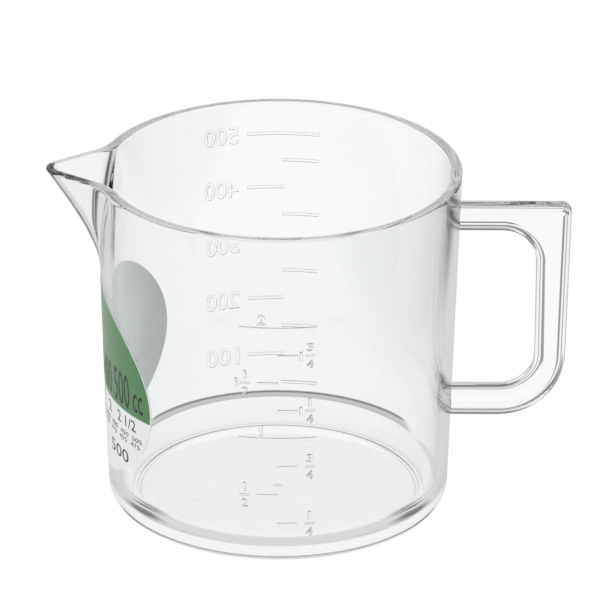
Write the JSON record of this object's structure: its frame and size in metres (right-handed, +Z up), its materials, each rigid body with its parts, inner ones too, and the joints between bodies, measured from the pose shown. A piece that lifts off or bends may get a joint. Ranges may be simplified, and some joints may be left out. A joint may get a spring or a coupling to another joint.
{
  "type": "measuring cup",
  "caption": "Clear moulded measuring cup with a tapered round wall, pinched pouring spout, D-shaped handle, raised volume scales and an oval label.",
  "frame": {"origin": "the cup's axis at the flat underside that it stands on", "axes": "+Z up along the cup's axis, +X towards the handle, -X towards the spout, +Y towards the wall with the cc scale"},
  "size_m": [0.1396, 0.097, 0.0952],
  "materials": {
    "clear_body": "clear, glossy, as moulded",
    "clear_handle": "clear, glossy, as moulded",
    "label_film": "printed film, green over white, satin"
  },
  "bodies": {
    "root": {"cup_body": "clear_body", "handle": "clear_handle", "label": "label_film"}
  },
  "joints": []
}
